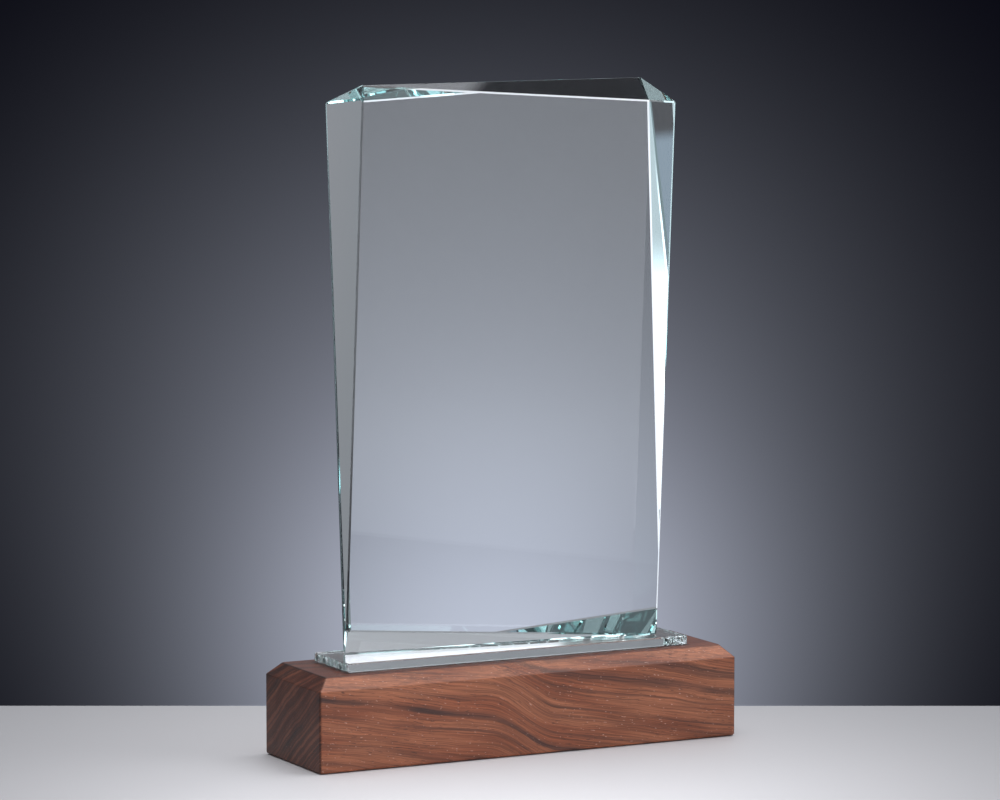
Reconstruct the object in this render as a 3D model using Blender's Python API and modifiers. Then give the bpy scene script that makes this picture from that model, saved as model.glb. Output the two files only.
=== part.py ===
"""A clear glass award: a tall block with twisted facets, bonded to a thin
glass foot plate that is stuck on a chamfered walnut plinth.

Units are metres, +Z is up. The origin is the centre of the underside, on the
surface that the award stands on. +X runs along the plinth, -Y is the front.
Run it with: blender --background --python part.py
"""

import bmesh
import bpy
from mathutils import Vector

# Walnut plinth
PLINTH_LENGTH = 0.201
PLINTH_DEPTH = 0.0555
PLINTH_HEIGHT = 0.040
TOP_CHAMFER = 0.0052
CORNER_RADIUS = 0.0012
FOOT_EDGE_RADIUS = 0.0010
CHAMFER_EASING = 0.0003

# Baize sheet, let into a shallow pocket so that the plinth looks flush with the table
BAIZE_THICKNESS = 0.0008
BAIZE_MARGIN = 0.0040
BAIZE_CORNER_RADIUS = 0.0030
RIM_LIFT = 0.0003

# Glass foot plate
PLATE_LENGTH = 0.1648
PLATE_DEPTH = 0.0342
PLATE_THICKNESS = 0.0038
PLATE_CORNER_RADIUS = 0.0010
PLATE_ARRIS = 0.0004

# Glass block, before its facets are ground
BLOCK_WIDTH = 0.160
BLOCK_HEIGHT = 0.2436
BLOCK_THICKNESS = 0.019
BLOCK_ARRIS = 0.0009

# How far each facet runs in from the blank's corner. The front and the back
# face take the same pattern mirrored, which gives each side its twist.
FRONT_SIDE_INSET = 0.0091
FRONT_TOP_DROP = 0.0104
FRONT_FOOT_RISE = 0.0123
BACK_SIDE_INSET = 0.0080
BACK_TOP_DROP = 0.0083
BACK_FOOT_RISE = 0.0098
FACET_LAND = 0.0006
FOOT_FLAT_DEPTH = 0.0008

# Thin layers between the pieces
GAP = 0.0003
FILM_THICKNESS = 0.0001
TAPE_LENGTH = 0.130
TAPE_WIDTH = 0.010
TAPE_SPACING = 0.016
BOND_WIDTH = 0.0030
BOND_LENGTH = 0.132

# Heights that follow from the sizes above
POCKET_DEPTH = BAIZE_THICKNESS + GAP - RIM_LIFT
PLINTH_TOP = RIM_LIFT + PLINTH_HEIGHT
PLATE_BOTTOM = PLINTH_TOP + GAP
PLATE_TOP = PLATE_BOTTOM + PLATE_THICKNESS
BLOCK_BOTTOM = PLATE_TOP + GAP

# Colours are linear RGB
WALNUT_BROWN = (0.19, 0.075, 0.040)
GLASS_TINT = (0.90, 0.97, 0.96)
BAIZE_BLACK = (0.012, 0.012, 0.013)
TAPE_CLEAR = (0.80, 0.82, 0.82)


def clear_scene():
    """Remove every object that the file opened with."""
    for obj in list(bpy.data.objects):
        bpy.data.objects.remove(obj, do_unlink=True)


def make_collection(name):
    collection = bpy.data.collections.new(name)
    bpy.context.scene.collection.children.link(collection)
    return collection


def make_material(name, colour, roughness, transmission=0.0, ior=1.45):
    """A Principled material with one colour."""
    material = bpy.data.materials.new(name)
    material.use_nodes = True
    material.diffuse_color = (*colour, 1.0)
    shader = material.node_tree.nodes["Principled BSDF"]
    shader.inputs["Base Color"].default_value = (*colour, 1.0)
    shader.inputs["Roughness"].default_value = roughness
    shader.inputs["Metallic"].default_value = 0.0
    shader.inputs["Transmission Weight"].default_value = transmission
    shader.inputs["IOR"].default_value = ior
    return material


def new_box(length, depth, height, bottom):
    """A bmesh box centred on the Z axis, standing on the height given as bottom."""
    bm = bmesh.new()
    bmesh.ops.create_cube(bm, size=1.0)
    bmesh.ops.scale(bm, vec=(length, depth, height), verts=bm.verts)
    bmesh.ops.translate(bm, vec=(0.0, 0.0, bottom + height / 2), verts=bm.verts)
    return bm


def make_object(name, bm, material, collection):
    bmesh.ops.recalc_face_normals(bm, faces=bm.faces)
    mesh = bpy.data.meshes.new(name)
    bm.to_mesh(mesh)
    bm.free()
    mesh.materials.append(material)
    obj = bpy.data.objects.new(name, mesh)
    collection.objects.link(obj)
    return obj


def bevel_edges(bm, edges, size, segments):
    bmesh.ops.bevel(
        bm,
        geom=edges,
        offset=size,
        offset_type="OFFSET",
        segments=segments,
        profile=0.5,
        affect="EDGES",
        clamp_overlap=True,
    )


def rising_edges(bm):
    """The edges that don't lie flat."""
    return [
        edge
        for edge in bm.edges
        if abs(edge.verts[0].co.z - edge.verts[1].co.z) > 1e-6
    ]


def upright_edges(bm):
    """The edges that run along Z."""
    return [
        edge
        for edge in bm.edges
        if (edge.verts[0].co - edge.verts[1].co).xy.length < 1e-6
    ]


def edges_at_height(bm, height):
    """The edges that lie flat at one height."""
    return [
        edge
        for edge in bm.edges
        if all(abs(vert.co.z - height) < 1e-6 for vert in edge.verts)
    ]


def add_bevel(obj, width, segments, offset_type="OFFSET", angle_limit=0.35):
    modifier = obj.modifiers.new("arris", "BEVEL")
    modifier.offset_type = offset_type
    modifier.width = width
    modifier.segments = segments
    modifier.limit_method = "ANGLE"
    modifier.angle_limit = angle_limit


def build_plinth(collection, cutters):
    """The walnut plinth: 45 degree chamfers on top, eased edges, a pocket below."""
    bm = new_box(PLINTH_LENGTH, PLINTH_DEPTH, PLINTH_HEIGHT, RIM_LIFT)
    bevel_edges(bm, edges_at_height(bm, PLINTH_TOP), TOP_CHAMFER, 1)
    bevel_edges(bm, rising_edges(bm), CORNER_RADIUS, 4)
    bevel_edges(bm, edges_at_height(bm, RIM_LIFT), FOOT_EDGE_RADIUS, 3)
    walnut = make_material("walnut", WALNUT_BROWN, 0.45)
    plinth = make_object("walnut_plinth", bm, walnut, collection)
    add_bevel(plinth, CHAMFER_EASING, 2, angle_limit=0.6)

    pocket_margin = BAIZE_MARGIN - GAP
    pocket = new_box(
        PLINTH_LENGTH - 2 * pocket_margin,
        PLINTH_DEPTH - 2 * pocket_margin,
        2 * POCKET_DEPTH,
        RIM_LIFT - POCKET_DEPTH,
    )
    bevel_edges(pocket, upright_edges(pocket), BAIZE_CORNER_RADIUS, 4)
    cutter = make_object("pocket_cutter", pocket, walnut, cutters)
    cutter.display_type = "WIRE"
    cutter.hide_render = True
    cut = plinth.modifiers.new("baize pocket", "BOOLEAN")
    cut.operation = "DIFFERENCE"
    cut.solver = "EXACT"
    cut.object = cutter


def build_baize(collection):
    """The baize sheet on the underside, which meets the table."""
    bm = new_box(
        PLINTH_LENGTH - 2 * BAIZE_MARGIN,
        PLINTH_DEPTH - 2 * BAIZE_MARGIN,
        BAIZE_THICKNESS,
        0.0,
    )
    bevel_edges(bm, upright_edges(bm), BAIZE_CORNER_RADIUS, 4)
    baize = make_material("baize", BAIZE_BLACK, 0.95)
    make_object("baize_sheet", bm, baize, collection)


def build_tapes(collection):
    """Two strips of thin clear double-sided tape under the foot plate."""
    tape = make_material("clear_tape", TAPE_CLEAR, 0.25, transmission=0.9)
    bottom = PLINTH_TOP + (GAP - FILM_THICKNESS) / 2
    for name, side in (("front_tape_strip", -1), ("back_tape_strip", 1)):
        bm = new_box(TAPE_LENGTH, TAPE_WIDTH, FILM_THICKNESS, bottom)
        shift = (0.0, side * TAPE_SPACING / 2, 0.0)
        bmesh.ops.translate(bm, vec=shift, verts=bm.verts)
        make_object(name, bm, tape, collection)


def build_plate(collection, glass):
    """The glass foot plate with dubbed corners and small ground arrises."""
    bm = new_box(PLATE_LENGTH, PLATE_DEPTH, PLATE_THICKNESS, PLATE_BOTTOM)
    bevel_edges(bm, upright_edges(bm), PLATE_CORNER_RADIUS, 3)
    plate = make_object("foot_plate", bm, glass, collection)
    add_bevel(plate, PLATE_ARRIS, 1, angle_limit=1.0)


def build_bond(collection):
    """The hardened clear adhesive under the flat that runs corner to corner
    across the block's foot."""
    bottom = PLATE_TOP + (GAP - FILM_THICKNESS) / 2
    bm = new_box(BOND_LENGTH, BOND_WIDTH, FILM_THICKNESS, bottom)
    # The flat runs from the front right corner to the back left one.
    run = BLOCK_WIDTH - FRONT_SIDE_INSET - BACK_SIDE_INSET
    slope = BLOCK_THICKNESS / run
    for vert in bm.verts:
        vert.co.y -= slope * vert.co.x
    bond = make_material("clear_bond", GLASS_TINT, 0.02, transmission=1.0)
    make_object("block_bond", bm, bond, collection)


def grind_facet(bm, first, second, third):
    """Take off what lies outside the plane through three points, and close the cut."""
    normal = (second - first).cross(third - first).normalized()
    middle = Vector((0.0, 0.0, BLOCK_HEIGHT / 2))
    if normal.dot(first - middle) < 0:
        normal.negate()
    cut = bmesh.ops.bisect_plane(
        bm,
        geom=bm.verts[:] + bm.edges[:] + bm.faces[:],
        plane_co=first,
        plane_no=normal,
        clear_outer=True,
    )
    rim = [item for item in cut["geom_cut"] if isinstance(item, bmesh.types.BMEdge)]
    bmesh.ops.edgeloop_fill(bm, edges=rim)


def facet_planes():
    """Three points for each of the eight facets, seen with the block's foot at Z = 0.

    Each side has two facets. One starts from the front face's edge and runs out
    to the side's back end, and the other starts from the back face's edge and
    runs out to the side's front end. They meet on a ridge that crosses the side.
    """
    half_width = BLOCK_WIDTH / 2
    front = -BLOCK_THICKNESS / 2
    back = BLOCK_THICKNESS / 2
    top = BLOCK_HEIGHT
    foot = -FOOT_FLAT_DEPTH
    land = FACET_LAND

    front_top_left = Vector((-half_width + FRONT_SIDE_INSET, front, top - land))
    front_top_right = Vector((half_width - land, front, top - FRONT_TOP_DROP))
    front_foot_right = Vector((half_width - FRONT_SIDE_INSET, front, foot + land))
    front_foot_left = Vector((-half_width + land, front, FRONT_FOOT_RISE))
    back_top_left = Vector((-half_width + land, back, top - BACK_TOP_DROP))
    back_top_right = Vector((half_width - BACK_SIDE_INSET, back, top - land))
    back_foot_right = Vector((half_width - land, back, BACK_FOOT_RISE))
    back_foot_left = Vector((-half_width + BACK_SIDE_INSET, back, foot + land))

    left_rear = Vector((-half_width, back - land, top - BACK_TOP_DROP))
    left_fore = Vector((-half_width, front + land, FRONT_FOOT_RISE))
    right_rear = Vector((half_width, back - land, BACK_FOOT_RISE))
    right_fore = Vector((half_width, front + land, top - FRONT_TOP_DROP))
    top_rear = Vector((half_width - BACK_SIDE_INSET, back - land, top))
    top_fore = Vector((-half_width + FRONT_SIDE_INSET, front + land, top))
    foot_rear = Vector((-half_width + BACK_SIDE_INSET, back - land, foot))
    foot_fore = Vector((half_width - FRONT_SIDE_INSET, front + land, foot))

    return [
        (front_top_left, front_foot_left, left_rear),
        (back_top_left, back_foot_left, left_fore),
        (front_top_right, front_foot_right, right_rear),
        (back_top_right, back_foot_right, right_fore),
        (front_top_left, front_top_right, top_rear),
        (back_top_left, back_top_right, top_fore),
        (front_foot_left, front_foot_right, foot_rear),
        (back_foot_left, back_foot_right, foot_fore),
    ]


def build_block(collection, glass):
    """The glass block: a sawn blank with two facets ground on each of its four
    sides, then a flat along the foot for the bond."""
    blank_height = BLOCK_HEIGHT + FOOT_FLAT_DEPTH
    bm = new_box(BLOCK_WIDTH, BLOCK_THICKNESS, blank_height, -FOOT_FLAT_DEPTH)
    for points in facet_planes():
        grind_facet(bm, *points)
    left_end = Vector((-BLOCK_WIDTH, 0.0, 0.0))
    right_end = Vector((BLOCK_WIDTH, 0.0, 0.0))
    grind_facet(bm, left_end, right_end, Vector((0.0, BLOCK_THICKNESS, 0.0)))
    bmesh.ops.remove_doubles(bm, verts=bm.verts, dist=1e-5)
    bmesh.ops.dissolve_limit(bm, angle_limit=0.001, verts=bm.verts, edges=bm.edges)
    bmesh.ops.translate(bm, vec=(0.0, 0.0, BLOCK_BOTTOM), verts=bm.verts)
    block = make_object("crystal_block", bm, glass, collection)
    add_bevel(block, BLOCK_ARRIS, 1, offset_type="WIDTH", angle_limit=0.05)


def main():
    clear_scene()
    award = make_collection("crystal_award")
    cutters = make_collection("cutters")
    glass = make_material("clear_glass", GLASS_TINT, 0.0, transmission=1.0, ior=1.52)
    build_baize(award)
    build_plinth(award, cutters)
    build_tapes(award)
    build_plate(award, glass)
    build_bond(award)
    build_block(award, glass)


main()
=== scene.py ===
"""Looks for the crystal award: a faceted clear glass block on a glass foot plate
and a walnut plinth, on a pale table in front of a dark graded backdrop.
Units are metres, +Z is up, and -Y is the front."""

import math

import bmesh
import bpy
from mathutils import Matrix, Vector


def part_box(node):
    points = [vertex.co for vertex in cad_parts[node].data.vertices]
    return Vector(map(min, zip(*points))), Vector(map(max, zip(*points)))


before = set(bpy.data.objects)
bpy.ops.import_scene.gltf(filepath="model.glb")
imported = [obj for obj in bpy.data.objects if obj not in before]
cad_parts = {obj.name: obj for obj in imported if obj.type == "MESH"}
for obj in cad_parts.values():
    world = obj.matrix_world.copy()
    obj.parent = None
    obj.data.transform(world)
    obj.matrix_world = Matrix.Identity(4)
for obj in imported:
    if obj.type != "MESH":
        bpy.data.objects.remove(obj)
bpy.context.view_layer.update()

# Where the camera stands, as seen from the award's axis, and how it is turned
CAMERA_AZIMUTH = math.radians(-27.34)
CAMERA_REACH = 2.0196
CAMERA_HEIGHT = 0.3733
CAMERA_YAW = math.radians(-27.305)
CAMERA_PITCH = math.radians(-6.289)
LENS_MM = 169.66
SENSOR_MM = 36.0

TABLE_REAR = 0.097
TABLE_FRONT = 0.8
TABLE_HALF_WIDTH = 0.5
TABLE_THICKNESS = 0.03

# The table carries a painted pool of light: its paint is lightest at a place in front of the
# award, and fades to painted shade round it
PAINTED_POOL_AHEAD = 0.25
PAINTED_POOL_WIDTH = 0.14
PAINTED_POOL_DEPTH = 0.24
TABLE_ROUGHNESS = 0.6

MOST_BOUNCES = 32

# ------------------------------------------------------------- node helpers


def add_node(tree, kind, *inputs, **settings):
    """A new node. Each input is a value, a socket to link, or None to leave it."""
    node = tree.nodes.new(kind)
    for name, value in settings.items():
        setattr(node, name, value)
    for socket, value in zip(node.inputs, inputs):
        feed(tree, socket, value)
    return node


def feed(tree, socket, value):
    if value is None:
        return
    if isinstance(value, bpy.types.NodeSocket):
        tree.links.new(value, socket)
    else:
        socket.default_value = value


def maths(tree, operation, *inputs, clamp=False):
    node = add_node(tree, "ShaderNodeMath", *inputs, operation=operation, use_clamp=clamp)
    return node.outputs["Value"]


def ramp(tree, value, start, end, low=0.0, high=1.0):
    """A smooth step: low before start, high after end."""
    node = add_node(tree, "ShaderNodeMapRange", value, start, end, low, high)
    node.interpolation_type = "SMOOTHSTEP"
    return node.outputs["Result"]


def mix_colour(tree, factor, first, second, blend="MIX"):
    node = tree.nodes.new("ShaderNodeMix")
    node.data_type = "RGBA"
    node.blend_type = blend
    sockets = [s for s in node.inputs if s.type == "RGBA"]
    feed(tree, node.inputs["Factor"], factor)
    feed(tree, sockets[0], first)
    feed(tree, sockets[1], second)
    return next(s for s in node.outputs if s.type == "RGBA")


def noise(tree, vector, scale, detail=2.0, roughness=0.5):
    node = tree.nodes.new("ShaderNodeTexNoise")
    feed(tree, node.inputs["Vector"], vector)
    node.inputs["Scale"].default_value = scale
    node.inputs["Detail"].default_value = detail
    node.inputs["Roughness"].default_value = roughness
    return node.outputs["Fac"]


def grain_noise(tree, vector, scale, detail):
    """Noise stretched along X: scale is how fine it is along X and across it, per metre."""
    along, across = scale
    node = add_node(tree, "ShaderNodeMapping", vector)
    node.inputs["Scale"].default_value = (along, across, across)
    return noise(tree, node.outputs["Vector"], 1.0, detail=detail)


def swing(tree, value, height):
    """A noise value of 0 to 1 turned into a shift of up to half the height each way."""
    return maths(tree, "MULTIPLY", maths(tree, "SUBTRACT", value, 0.5), height)


def grey(tree, value):
    return add_node(tree, "ShaderNodeCombineXYZ", value, value, value).outputs[0]


def rgb(red, green, blue):
    return (red, green, blue, 1.0)


def new_group(name, inputs, outputs):
    """An empty node group, its input node and its output node."""
    group = bpy.data.node_groups.new(name, "ShaderNodeTree")
    for label, kind in inputs:
        group.interface.new_socket(label, in_out="INPUT", socket_type=kind)
    for label, kind in outputs:
        group.interface.new_socket(label, in_out="OUTPUT", socket_type=kind)
    source = group.nodes.new("NodeGroupInput")
    sink = group.nodes.new("NodeGroupOutput")
    return group, source, sink


def use_group(tree, group, *inputs):
    node = tree.nodes.new("ShaderNodeGroup")
    node.node_tree = group
    for socket, value in zip(node.inputs, inputs):
        feed(tree, socket, value)
    return node


def new_material(name):
    material = bpy.data.materials.new(name)
    material.use_nodes = True
    tree = material.node_tree
    return material, tree, tree.nodes["Principled BSDF"]


def add_bump(tree, shader, height, strength, distance):
    bump = tree.nodes.new("ShaderNodeBump")
    bump.inputs["Strength"].default_value = strength
    bump.inputs["Distance"].default_value = distance
    feed(tree, bump.inputs["Height"], height)
    feed(tree, shader.inputs["Normal"], bump.outputs["Normal"])


def object_coordinates(tree):
    return tree.nodes.new("ShaderNodeTexCoord").outputs["Object"]


# ------------------------------------------------------------------- walnut


# How the figure runs: it falls along the plinth, with a dip in the middle, and
# rises towards the front across the ends
GRAIN_FALL = 0.18
GRAIN_TILT = 0.75
DIP_START = -0.020
DIP_END = 0.012
DIP_DEPTH = 0.010
CHAMFER = 0.0052

# The dark streaks: depth below the front's upper left corner, half width, strength
STREAKS = [
    (-0.0385, 0.0034, 0.60),
    (-0.0310, 0.0030, 0.66),
    (-0.0247, 0.0008, 0.52),
    (-0.0225, 0.0006, 0.42),
    (-0.0163, 0.0009, 0.62),
    (-0.0118, 0.0013, 0.30),
    (-0.0040, 0.0012, 0.34),
    (0.0026, 0.0021, 0.95),
    (0.0092, 0.0011, 0.58),
    (0.0225, 0.0026, 0.50),
    (0.0300, 0.0016, 0.36),
]

WALNUT_RED = rgb(0.265, 0.077, 0.034)
WALNUT_PALE = rgb(0.390, 0.138, 0.067)
WALNUT_DARK = rgb(0.070, 0.031, 0.024)
FLECK_COLOUR = rgb(0.80, 0.50, 0.40)
END_GRAIN_TINT = rgb(0.22, 0.18, 0.18)
END_GRAIN_RAY = rgb(0.46, 0.42, 0.44)
# Painted shade that darkens the plinth's flat top
TOP_PAINTED_SHADE = rgb(0.42, 0.33, 0.32)
FOOT_SHADE = 0.35

# How fine each part of the figure is, along the plinth and across it, per metre
WAVE_SCALE = (16.0, 42.0)
RIPPLE_SCALE = (70.0, 170.0)
FADE_SCALE = (26.0, 90.0)
FIBRE_SCALE = (42.0, 1900.0)
BLOTCH_SCALE = (16.0, 95.0)
PORE_SCALE = (240.0, 2600.0)
CROWD_SCALE = (40.0, 120.0)
FLECK_SCALE = (560.0, 1700.0)

# How far the wave and the ripple move the figure
WAVE_HEIGHT = 0.0055
RIPPLE_HEIGHT = 0.0014

# The lines that follow the rings: how many per metre of depth, and a seed
NARROW_LINES = (760.0, 11.2)
FINE_LINES = (2300.0, 5.1)
RAYS = (430.0, 8.4)

# How dark or pale each mark is
NARROW_STRENGTH = 0.60
FINE_STRENGTH = 0.22
PORE_STRENGTH = 0.75
FLECK_STRENGTH = 0.50
STREAK_CORE = 0.15

WALNUT_SPECULAR = 0.35
WALNUT_BUMP = 0.35
PORE_DEPTH = 0.00012


def grain_space():
    """Coordinates that follow the figure: along the plinth, across it, and the
    depth below the streak that starts at the front's upper left corner."""
    group, source, sink = new_group(
        "grain_space",
        [("Vector", "NodeSocketVector")],
        [("Vector", "NodeSocketVector"), ("Depth", "NodeSocketFloat")],
    )
    low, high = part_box("walnut_plinth")
    place = source.outputs["Vector"]
    split = add_node(group, "ShaderNodeSeparateXYZ", place)
    along, across, up = split.outputs
    depth = maths(group, "SUBTRACT", high.z - CHAMFER, up)
    behind = maths(group, "SUBTRACT", across, low.y)
    fall = maths(group, "MULTIPLY", maths(group, "SUBTRACT", along, low.x), GRAIN_FALL)
    dip = ramp(group, along, DIP_START, DIP_END, 0.0, DIP_DEPTH)
    wave = swing(group, grain_noise(group, place, WAVE_SCALE, detail=1.0), WAVE_HEIGHT)
    ripple = grain_noise(group, place, RIPPLE_SCALE, detail=2.0)
    ripple = swing(group, ripple, RIPPLE_HEIGHT)
    terms = (maths(group, "MULTIPLY", behind, GRAIN_TILT), fall, dip, wave, ripple)
    for term in terms:
        depth = maths(group, "SUBTRACT", depth, term)
    joined = add_node(group, "ShaderNodeCombineXYZ", along, across, depth)
    feed(group, sink.inputs["Vector"], joined.outputs[0])
    feed(group, sink.inputs["Depth"], depth)
    return group


def ring_lines(tree, depth, lines, start, end):
    """Lines that follow the growth rings: 1 inside a line, 0 outside."""
    frequency, seed = lines
    node = tree.nodes.new("ShaderNodeTexNoise")
    node.noise_dimensions = "1D"
    shifted = maths(tree, "ADD", maths(tree, "MULTIPLY", depth, frequency), seed)
    feed(tree, node.inputs["W"], shifted)
    node.inputs["Scale"].default_value = 1.0
    node.inputs["Detail"].default_value = 1.5
    return ramp(tree, node.outputs["Fac"], start, end)


def dark_streaks(tree, depth):
    """The strongest of the dark streaks at this depth."""
    found = None
    for middle, half_width, strength in STREAKS:
        away = maths(tree, "ABSOLUTE", maths(tree, "SUBTRACT", depth, middle))
        core = STREAK_CORE * half_width
        streak = ramp(tree, away, core, half_width, low=strength, high=0.0)
        found = streak if found is None else maths(tree, "MAXIMUM", found, streak)
    return found


def ring_colour(tree, place, along_grain, depth, fibre):
    """The colour of the wood with its dark streaks, its fine lines and its fibre."""
    fade = grain_noise(tree, place, FADE_SCALE, detail=2.0)
    faded = ramp(tree, fade, 0.28, 0.58, low=0.30, high=1.0)
    streaks = maths(tree, "MULTIPLY", dark_streaks(tree, depth), faded)
    narrow = ring_lines(tree, depth, NARROW_LINES, 0.46, 0.76)
    narrow = maths(tree, "MULTIPLY", maths(tree, "MULTIPLY", narrow, fade), NARROW_STRENGTH)
    fine = ring_lines(tree, depth, FINE_LINES, 0.40, 0.72)
    fine = maths(tree, "MULTIPLY", fine, FINE_STRENGTH)
    blotch = grain_noise(tree, along_grain, BLOTCH_SCALE, detail=2.0)
    colour = mix_colour(tree, ramp(tree, blotch, 0.34, 0.64), WALNUT_RED, WALNUT_PALE)
    for darkness in (fine, narrow, streaks):
        colour = mix_colour(tree, darkness, colour, WALNUT_DARK)
    shade = ramp(tree, fibre, 0.25, 0.75, low=0.62, high=1.38)
    return mix_colour(tree, 1.0, colour, grey(tree, shade), blend="MULTIPLY")


def open_pores(tree, place, along_grain):
    """The pores, crowded in some places and sparse in others: 1 in a pore."""
    pores = grain_noise(tree, along_grain, PORE_SCALE, detail=1.0)
    crowd = grain_noise(tree, place, CROWD_SCALE, detail=1.0)
    crowd = ramp(tree, crowd, 0.35, 0.65, low=0.70, high=0.63)
    return ramp(tree, maths(tree, "SUBTRACT", pores, crowd), 0.0, 0.05)


def marked(tree, colour, along_grain, pit):
    """The colour with its dark pores and its pale flecks."""
    dark_pit = maths(tree, "MULTIPLY", pit, PORE_STRENGTH)
    colour = mix_colour(tree, dark_pit, colour, WALNUT_DARK)
    flecks = grain_noise(tree, along_grain, FLECK_SCALE, detail=1.0)
    fleck = ramp(tree, flecks, 0.70, 0.75, low=0.0, high=FLECK_STRENGTH)
    return mix_colour(tree, fleck, colour, FLECK_COLOUR)


def tinted_and_shaded(tree, colour, depth, end_grain, top, shade):
    """The colour as the ends darken it, with painted shade on the flat top and round the
    foot plate.
    """
    rays = ring_lines(tree, depth, RAYS, 0.44, 0.62)
    tint = mix_colour(tree, rays, END_GRAIN_TINT, END_GRAIN_RAY)
    darkened = mix_colour(tree, 1.0, colour, tint, blend="MULTIPLY")
    colour = mix_colour(tree, end_grain, colour, darkened)
    # Painted shade on the flat top
    darkened = mix_colour(tree, 1.0, colour, TOP_PAINTED_SHADE, blend="MULTIPLY")
    colour = mix_colour(tree, top, colour, darkened)
    return mix_colour(tree, 1.0, colour, grey(tree, shade), blend="MULTIPLY")


def walnut_figure():
    """Oiled walnut: its colour, roughness and height, from the place on the plinth
    and from masks for its ends, for painted shade on its top and for painted shade round the
    foot plate."""
    group, source, sink = new_group(
        "walnut_figure",
        [
            ("Vector", "NodeSocketVector"),
            ("End Grain", "NodeSocketFloat"),
            ("Top", "NodeSocketFloat"),
            ("Shade", "NodeSocketFloat"),
        ],
        [
            ("Color", "NodeSocketColor"),
            ("Roughness", "NodeSocketFloat"),
            ("Height", "NodeSocketFloat"),
        ],
    )
    place, end_grain, top, shade = list(source.outputs)[:4]
    along_grain, depth = use_group(group, grain_space(), place).outputs
    fibre = grain_noise(group, along_grain, FIBRE_SCALE, detail=3.0)
    pit = open_pores(group, place, along_grain)
    colour = ring_colour(group, place, along_grain, depth, fibre)
    colour = marked(group, colour, along_grain, pit)
    colour = tinted_and_shaded(group, colour, depth, end_grain, top, shade)
    gloss = ramp(group, fibre, 0.2, 0.8, low=0.38, high=0.52)
    height = maths(group, "SUBTRACT", maths(group, "MULTIPLY", fibre, 0.35), pit)
    feed(group, sink.inputs["Color"], colour)
    feed(group, sink.inputs["Roughness"], gloss)
    feed(group, sink.inputs["Height"], height)
    return group


def end_grain_mask(tree, place):
    """1 on the plinth's ends and on the chamfers above them, 0 along its sides."""
    low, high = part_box("walnut_plinth")
    half_length = (high.x - low.x) / 2
    split = add_node(tree, "ShaderNodeSeparateXYZ", place)
    outward = maths(tree, "ABSOLUTE", split.outputs["X"])
    past_end = maths(tree, "SUBTRACT", outward, half_length)
    on_chamfer = maths(tree, "ADD", outward, split.outputs["Z"])
    on_chamfer = maths(tree, "SUBTRACT", on_chamfer, half_length + high.z - CHAMFER)
    nearest = maths(tree, "MAXIMUM", past_end, on_chamfer)
    return ramp(tree, nearest, -0.0008, -0.0002)


def top_mask(tree, place):
    """1 on the plinth's flat top, 0 from its chamfers down."""
    _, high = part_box("walnut_plinth")
    split = add_node(tree, "ShaderNodeSeparateXYZ", place)
    return ramp(tree, split.outputs["Z"], high.z - 0.0005, high.z - 0.0002)


def foot_shade(tree, place):
    """A narrow shade on the wood round the foot plate: 1 well away from it."""
    _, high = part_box("foot_plate")
    split = add_node(tree, "ShaderNodeSeparateXYZ", place)
    beside = maths(tree, "SUBTRACT", maths(tree, "ABSOLUTE", split.outputs["X"]), high.x)
    before = maths(tree, "SUBTRACT", maths(tree, "ABSOLUTE", split.outputs["Y"]), high.y)
    outside = maths(tree, "MAXIMUM", beside, before)
    return ramp(tree, outside, 0.0003, 0.0018, FOOT_SHADE, 1.0)


def walnut():
    material, tree, shader = new_material("walnut")
    place = object_coordinates(tree)
    masks = (end_grain_mask(tree, place), top_mask(tree, place), foot_shade(tree, place))
    figure = use_group(tree, walnut_figure(), place, *masks)
    feed(tree, shader.inputs["Base Color"], figure.outputs["Color"])
    feed(tree, shader.inputs["Roughness"], figure.outputs["Roughness"])
    add_bump(tree, shader, figure.outputs["Height"], WALNUT_BUMP, PORE_DEPTH)
    shader.inputs["Specular IOR Level"].default_value = WALNUT_SPECULAR
    return material


# -------------------------------------------------------------------- glass


GLASS_IOR = 1.52
GLASS_BODY = rgb(0.25, 0.80, 0.79)
GLASS_DENSITY = 2.2

# The ground ends of the foot plate
GROUND_ROUGHNESS = 0.03
CHIPS_PER_METRE = 240.0
CHIP_DEPTH = 0.0030


def glass_body(name):
    """Polished low-iron glass, with the green of its body seen over a long path."""
    material, tree, shader = new_material(name)
    shader.inputs["Base Color"].default_value = rgb(1.0, 1.0, 1.0)
    shader.inputs["Roughness"].default_value = 0.0
    shader.inputs["IOR"].default_value = GLASS_IOR
    shader.inputs["Transmission Weight"].default_value = 1.0
    absorb = tree.nodes.new("ShaderNodeVolumeAbsorption")
    absorb.inputs["Color"].default_value = GLASS_BODY
    absorb.inputs["Density"].default_value = GLASS_DENSITY
    output = tree.nodes["Material Output"]
    tree.links.new(absorb.outputs["Volume"], output.inputs["Volume"])
    return material, tree, shader


def block_glass():
    return glass_body("block_glass")[0]


def plate_glass():
    """The foot plate: polished faces, and ends left as they came off the wheel."""
    material, tree, shader = glass_body("plate_glass")
    place = object_coordinates(tree)
    _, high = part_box("foot_plate")
    split = add_node(tree, "ShaderNodeSeparateXYZ", place)
    outward = maths(tree, "ABSOLUTE", split.outputs["X"])
    ground = ramp(tree, outward, high.x - 0.0006, high.x - 0.0002)
    feed(tree, shader.inputs["Roughness"], maths(tree, "MULTIPLY", ground, GROUND_ROUGHNESS))
    chips = tree.nodes.new("ShaderNodeTexVoronoi")
    feed(tree, chips.inputs["Vector"], place)
    chips.inputs["Scale"].default_value = CHIPS_PER_METRE
    chipped = maths(tree, "MULTIPLY", chips.outputs["Distance"], ground)
    add_bump(tree, shader, chipped, 1.0, CHIP_DEPTH)
    return material


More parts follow.
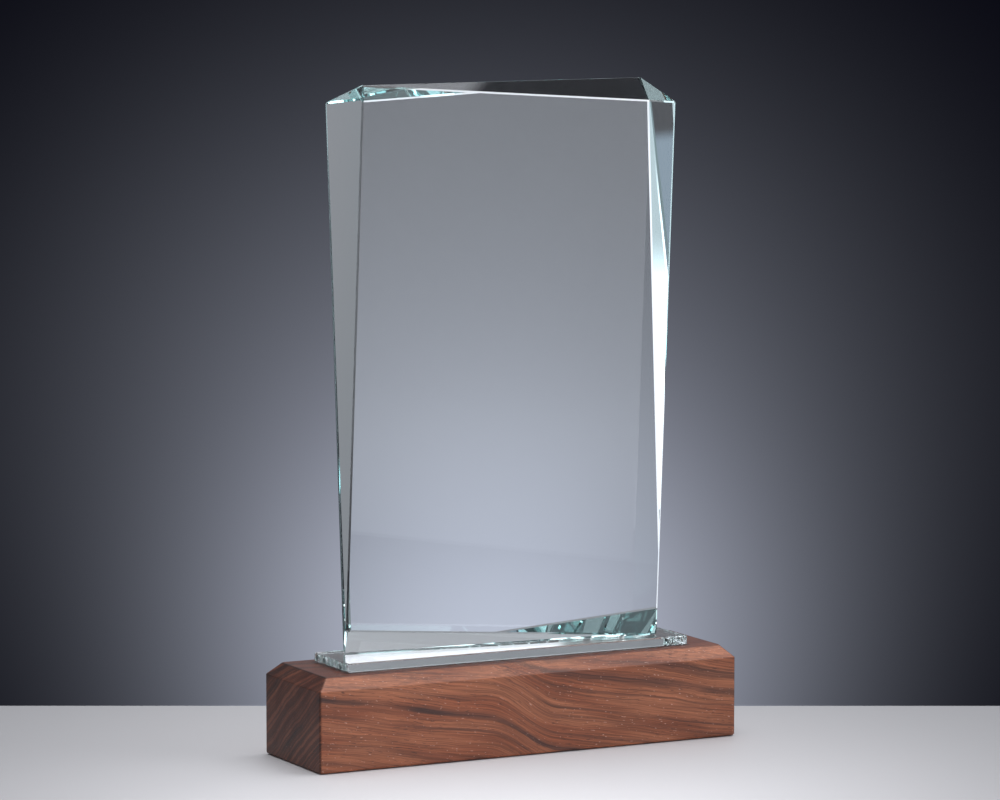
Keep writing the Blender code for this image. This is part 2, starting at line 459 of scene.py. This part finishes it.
def plain(name, colour, roughness):
    material, tree, shader = new_material(name)
    place = object_coordinates(tree)
    speckle = ramp(tree, noise(tree, place, 900.0), 0.3, 0.7)
    darker = rgb(*(0.8 * part for part in colour[:3]))
    feed(tree, shader.inputs["Base Color"], mix_colour(tree, speckle, darker, colour))
    shader.inputs["Roughness"].default_value = roughness
    return material


# ------------------------------------------------------------------- studio


# The table's colour in painted shade, and in the painted pool of light
TABLE_IN_PAINTED_SHADE = rgb(0.22, 0.22, 0.23)
TABLE_IN_PAINTED_LIGHT = rgb(0.85, 0.84, 0.86)


def ground_direction(azimuth):
    """The unit vector over the table from the award towards an azimuth.
    Azimuth 0 is straight in front of the award, and it grows towards +X."""
    return Vector((math.sin(azimuth), -math.cos(azimuth), 0.0))


def object_from(name, bm, material):
    mesh = bpy.data.meshes.new(name)
    bm.to_mesh(mesh)
    bm.free()
    mesh.materials.append(material)
    obj = bpy.data.objects.new(name, mesh)
    bpy.context.scene.collection.objects.link(obj)
    return obj


def table_painted_pool():
    """Pale paint with a painted pool of light, lightest in front of the award, where the
    studio is brightest, fading to painted shade round it.
    """
    material, tree, shader = new_material("table_painted_pool")
    place = object_coordinates(tree)
    split = add_node(tree, "ShaderNodeSeparateXYZ", place)
    sideways = maths(tree, "DIVIDE", split.outputs["X"], PAINTED_POOL_WIDTH)
    forward = maths(tree, "ADD", split.outputs["Y"], PAINTED_POOL_AHEAD)
    forward = maths(tree, "DIVIDE", forward, PAINTED_POOL_DEPTH)
    sideways = maths(tree, "MULTIPLY", sideways, sideways)
    forward = maths(tree, "MULTIPLY", forward, forward)
    spread = maths(tree, "ADD", sideways, forward)
    pool = maths(tree, "EXPONENT", maths(tree, "MULTIPLY", spread, -0.5))
    # Painted pool of light on the table, fading to painted shade
    colour = mix_colour(tree, pool, TABLE_IN_PAINTED_SHADE, TABLE_IN_PAINTED_LIGHT)
    feed(tree, shader.inputs["Base Color"], colour)
    shader.inputs["Roughness"].default_value = TABLE_ROUGHNESS
    return material


def add_table():
    """A pale table top that ends a hand's breadth behind the award."""
    bm = bmesh.new()
    bmesh.ops.create_cube(bm, size=1.0)
    depth = TABLE_FRONT + TABLE_REAR
    bmesh.ops.scale(bm, vec=(2 * TABLE_HALF_WIDTH, depth, TABLE_THICKNESS), verts=bm.verts)
    shift = (0.0, (TABLE_REAR - TABLE_FRONT) / 2, -TABLE_THICKNESS / 2)
    bmesh.ops.translate(bm, vec=shift, verts=bm.verts)
    table = object_from("table", bm, table_painted_pool())
    table.rotation_euler.z = CAMERA_AZIMUTH


def add_camera():
    data = bpy.data.cameras.new("camera")
    data.lens = LENS_MM
    data.sensor_width = SENSOR_MM
    data.clip_start = 0.05
    data.clip_end = 50.0
    camera = bpy.data.objects.new("camera", data)
    bpy.context.scene.collection.objects.link(camera)
    place = ground_direction(CAMERA_AZIMUTH) * CAMERA_REACH
    place.z = CAMERA_HEIGHT
    camera.location = place
    camera.rotation_euler = (math.radians(90.0) + CAMERA_PITCH, 0.0, CAMERA_YAW)
    bpy.context.scene.camera = camera


def panel(tree, azimuth, elevation, centre, size, softness):
    """The shape of a softbox in the sky: 1 inside it, 0 outside. All in degrees."""
    turned = maths(tree, "SUBTRACT", azimuth, centre[0])
    turned = maths(tree, "ABSOLUTE", maths(tree, "WRAP", turned, 180.0, -180.0))
    raised = maths(tree, "ABSOLUTE", maths(tree, "SUBTRACT", elevation, centre[1]))
    half_width, half_height = size[0] / 2, size[1] / 2
    across = ramp(tree, turned, half_width - softness, half_width + softness, 1.0, 0.0)
    along = ramp(tree, raised, half_height - softness, half_height + softness, 1.0, 0.0)
    return maths(tree, "MULTIPLY", across, along)


# Each light: azimuth and elevation of its middle, width and height, softness of
# its edge, all in degrees as seen from the award, then its brightness and colour
COOL_WHITE = rgb(0.96, 1.0, 1.08)
WHITE = rgb(1.0, 1.0, 1.02)
BLUISH = rgb(0.90, 1.0, 1.25)
PANELS = [
    # Key softbox in front, whose reflection veils the face
    ((28.0, 3.2), (44.0, 21.8), 1.3, 1.35, COOL_WHITE),
    # Its dim wide surround
    ((20.0, 2.0), (110.0, 20.0), 6.0, 0.50, COOL_WHITE),
    # Left rear wall
    ((-108.0, -3.0), (56.0, 22.0), 3.0, 0.50, COOL_WHITE),
    # Bright strip low at the left rear
    ((-115.0, -11.2), (46.0, 7.6), 0.7, 2.4, COOL_WHITE),
    # Dim wall at the right, through the left facet
    ((98.0, -6.0), (44.0, 14.0), 3.0, 0.115, COOL_WHITE),
    # High front softbox
    ((26.0, 21.0), (26.0, 12.0), 2.0, 2.2, COOL_WHITE),
    # Small strip at the left rear
    ((-135.0, 6.5), (28.0, 7.0), 1.5, 1.4, COOL_WHITE),
    # Strip behind, past the backdrop
    ((173.0, -7.0), (18.0, 9.0), 1.5, 1.1, COOL_WHITE),
    # Front left softbox
    ((-45.0, 0.0), (50.0, 26.0), 4.0, 0.9, COOL_WHITE),
    # Wall over the backdrop
    ((150.0, 27.0), (80.0, 28.0), 4.0, 0.50, COOL_WHITE),
    # Dim band just over the backdrop
    ((150.0, 7.0), (80.0, 10.0), 1.5, 0.255, COOL_WHITE),
    # High rear softbox
    ((143.0, 46.0), (18.8, 11.0), 0.2, 1.80, COOL_WHITE),
    # High right softbox
    ((107.0, 34.5), (18.0, 10.0), 1.0, 1.20, COOL_WHITE),
    # Floor behind the table
    ((150.0, -31.0), (70.0, 22.0), 3.0, 1.1, COOL_WHITE),
    # Shaded floor next to the table
    ((150.0, -15.1), (70.0, 10.1), 0.1, 0.28, BLUISH),
    # Dim studio all round
    ((-27.0, 20.0), (280.0, 110.0), 10.0, 0.12, COOL_WHITE),
    # Overhead right softbox
    ((75.0, 58.0), (60.0, 34.0), 6.0, 3.0, WHITE),
    # Overhead softbox
    ((0.0, 90.0), (360.0, 52.0), 4.0, 4.0, WHITE),
]

# The two glows on the backdrop: how far each is centred from the camera's aim, how
# wide and high it spreads, all in degrees, and how bright it is
GLOW_TINT = (0.938, 1.0, 1.205)
LOW_GLOW = ((0.0, -3.26), (2.07, 1.95), 0.486)
HIGH_GLOW = ((0.36, -0.03), (3.13, 2.62), 0.1327)
BACKDROP_COLOUR = rgb(0.0010, 0.0010, 0.0040)


def pool_of_light(tree, azimuth, elevation, centre, spread):
    """A soft round glow: 1 in its middle, fading to 0. All in degrees."""
    across = maths(tree, "DIVIDE", maths(tree, "SUBTRACT", azimuth, centre[0]), spread[0])
    above = maths(tree, "DIVIDE", maths(tree, "SUBTRACT", elevation, centre[1]), spread[1])
    across = maths(tree, "MULTIPLY", across, across)
    above = maths(tree, "MULTIPLY", above, above)
    distance = maths(tree, "ADD", across, above)
    return maths(tree, "EXPONENT", maths(tree, "MULTIPLY", distance, -0.5))


def add_glow(tree, light, shape, colour):
    glow = add_node(tree, "ShaderNodeVectorMath", operation="SCALE")
    glow.inputs[0].default_value = colour[:3]
    feed(tree, glow.inputs["Scale"], shape)
    return mix_colour(tree, 1.0, light, glow.outputs["Vector"], blend="ADD")


def add_world():
    """The dark studio: a pool of light low on the backdrop, and softboxes."""
    world = bpy.data.worlds.new("studio")
    bpy.context.scene.world = world
    world.use_nodes = True
    tree = world.node_tree
    toward = tree.nodes.new("ShaderNodeTexCoord").outputs["Generated"]
    split = add_node(tree, "ShaderNodeSeparateXYZ", toward)
    ahead = maths(tree, "MULTIPLY", split.outputs["Y"], -1.0)
    azimuth = maths(tree, "ARCTAN2", split.outputs["X"], ahead)
    azimuth = maths(tree, "DEGREES", azimuth)
    elevation = maths(tree, "DEGREES", maths(tree, "ARCSINE", split.outputs["Z"]))

    light = BACKDROP_COLOUR
    aim_azimuth = 180.0 + math.degrees(CAMERA_YAW)
    aim_elevation = math.degrees(CAMERA_PITCH)
    for (sideways, raised), spread, brightness in (LOW_GLOW, HIGH_GLOW):
        centre = (aim_azimuth + sideways, aim_elevation + raised)
        shape = pool_of_light(tree, azimuth, elevation, centre, spread)
        light = add_glow(tree, light, shape, [brightness * part for part in GLOW_TINT])
    for centre, size, softness, brightness, colour in PANELS:
        shape = panel(tree, azimuth, elevation, centre, size, softness)
        shape = maths(tree, "MULTIPLY", shape, brightness)
        light = add_glow(tree, light, shape, colour)
    feed(tree, tree.nodes["Background"].inputs["Color"], light)


def main():
    scene = bpy.context.scene
    scene.view_settings.view_transform = "Standard"
    tape = plain("clear_tape", rgb(0.80, 0.83, 0.83), 0.4)
    finishes = {
        "walnut_plinth": walnut(),
        "baize_sheet": plain("baize", rgb(0.012, 0.012, 0.013), 0.95),
        "front_tape_strip": tape,
        "back_tape_strip": tape,
        "foot_plate": plate_glass(),
        "block_bond": block_glass(),
        "crystal_block": block_glass(),
    }
    for name, material in finishes.items():
        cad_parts[name].data.materials[0] = material
    add_table()
    add_world()
    add_camera()
    scene.cycles.max_bounces = MOST_BOUNCES
    scene.cycles.transmission_bounces = MOST_BOUNCES
    scene.cycles.glossy_bounces = MOST_BOUNCES


main()
